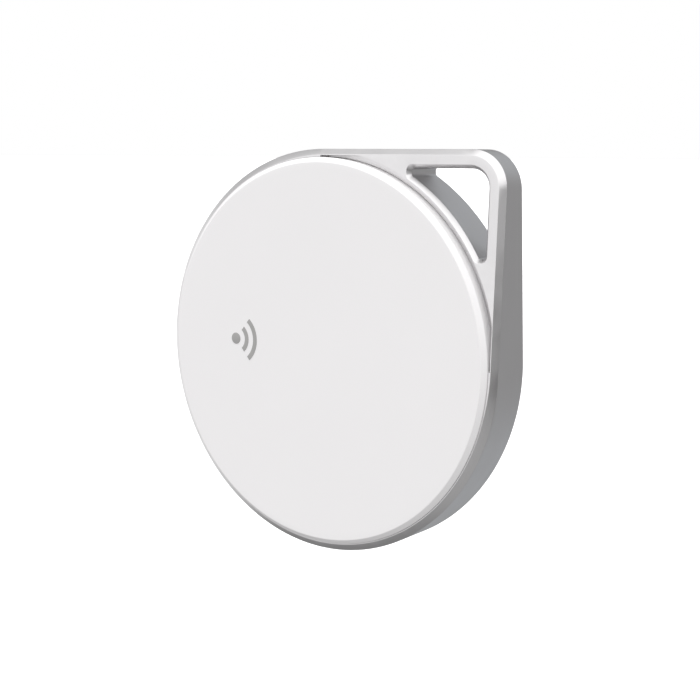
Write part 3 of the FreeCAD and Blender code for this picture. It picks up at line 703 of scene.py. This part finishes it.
def sky_dot(direction):
    """The dot product of a ray's direction with the given one."""
    ray = sky.add("ShaderNodeTexCoord").outputs["Generated"]
    return sky.add("ShaderNodeVectorMath", {0: ray, 1: direction},
                   operation="DOT_PRODUCT").outputs["Value"]


# Shiny faces see a room. Its tone changes along one line, from its far end (0) to the side that
# lights the front and left (1).
ROOM_LINE = Vector((-0.5, -0.8, 0.3)).normalized()
ROOM_TONES = ((0.0, 0.31), (0.22, 0.36), (0.36, 0.24), (0.52, 0.22), (0.66, 0.45), (0.82, 0.56),
              (0.94, 0.98))
# Soft round patches in that room: direction, half angles of the rim and core in degrees, level
# and warmth.
ROOM_PATCHES = (((0.0, 0.8, -0.6), 34, 8, 0.42, 0.97),
                ((0.10, 0.80, 0.60), 36, 12, 0.44, 0.97),
                ((-0.92, 0.36, -0.14), 32, 14, 0.98, 1.0),
                ((0.80, -0.50, -0.35), 30, 15, 0.03, 1.0),
                ((0.52, -0.45, -0.73), 34, 18, 0.42, 1.0),
                ((0.30, -0.50, 0.81), 60, 44, 1.42, 1.0))
# Matt faces are lit by a smooth gradient, brightest at the front and above.
GLOW_SLOPE = (-0.05, -0.255, 0.32)
GLOW_LEVEL = 0.60

ramp_node = sky.add("ShaderNodeValToRGB", {"Fac": sky.spread(sky_dot(ROOM_LINE), 0.0, 1.0, -1.0, 1.0)})
tones = ramp_node.color_ramp.elements
tones[0].position = ROOM_TONES[0][0]
tones[1].position = ROOM_TONES[-1][0]
for position, _ in ROOM_TONES[1:-1]:
    tones.new(position)
for element, (_, level) in zip(tones, ROOM_TONES):
    element.color = (level, level * 0.998, level * 1.002, 1)

room = ramp_node.outputs["Color"]
for direction, rim, core, level, warmth in ROOM_PATCHES:
    patch = sky.spread(sky_dot(Vector(direction).normalized()), 0.0, 1.0, math.cos(math.radians(rim)),
                       math.cos(math.radians(core)), interpolation_type="SMOOTHSTEP")
    room = sky.mix(patch, room, (level * warmth, level, level / warmth, 1))
glow = sky.math("ADD", sky_dot(GLOW_SLOPE), GLOW_LEVEL)
rays = sky.add("ShaderNodeLightPath")
seen = sky.mix(rays.outputs["Is Diffuse Ray"], room, glow)
seen = sky.mix(rays.outputs["Is Camera Ray"], seen, (1.0, 1.0, 1.0, 1))
backdrop = world.node_tree.nodes["Background"]
sky.join(seen, backdrop.inputs["Color"])
sky.join(1.0, backdrop.inputs["Strength"])


def soft_sun(name, direction, strength, width):
    """A wide, even light from far away; shiny faces see the room instead of it."""
    light = bpy.data.lights.new(name, "SUN")
    light.energy = strength
    light.angle = math.radians(width)
    lamp = bpy.data.objects.new(name, light)
    bpy.context.scene.collection.objects.link(lamp)
    lamp.rotation_euler = Vector(direction).to_track_quat("Z", "Y").to_euler()
    lamp.visible_glossy = False


soft_sun("key_light", (0.20, -0.55, 0.81), 1.1, 45)
soft_sun("top_light", (0.22, 0.05, 0.97), 1.4, 40)
soft_sun("back_light", (-0.30, 0.85, 0.40), 1.6, 40)

# The camera stands to the right of the front's normal and a little above it.
YAW = math.radians(36.301)
PITCH = math.radians(8.352)
ROLL = math.radians(0.347)
DISTANCE = 124.472 * MM
SHIFT_RIGHT = 2.535 * MM
SHIFT_UP = 0.221 * MM
LENS = 67.79
SENSOR = 36
FRAME_EDGE_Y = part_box("frame")[0].y + RIM_CHAMFER * MM
away = Vector((math.sin(YAW) * math.cos(PITCH), -math.cos(YAW) * math.cos(PITCH), math.sin(PITCH)))
right = Vector((math.cos(YAW), math.sin(YAW), 0))
up = away.cross(right)
turned_right = math.cos(ROLL) * right + math.sin(ROLL) * up
turned_up = math.cos(ROLL) * up - math.sin(ROLL) * right
camera_data = bpy.data.cameras.new("camera")
camera_data.lens = LENS
camera_data.sensor_width = SENSOR
camera_data.clip_start = 0.005
camera_data.clip_end = 200
camera = bpy.data.objects.new("camera", camera_data)
bpy.context.scene.collection.objects.link(camera)
place = Vector((0, FRAME_EDGE_Y, 0)) + away * DISTANCE
place += turned_right * SHIFT_RIGHT + turned_up * SHIFT_UP
axes = Matrix((turned_right, turned_up, away)).transposed()
camera.matrix_world = Matrix.Translation(place) @ axes.to_4x4()
bpy.context.scene.camera = camera
bpy.context.scene.view_settings.view_transform = "Standard"
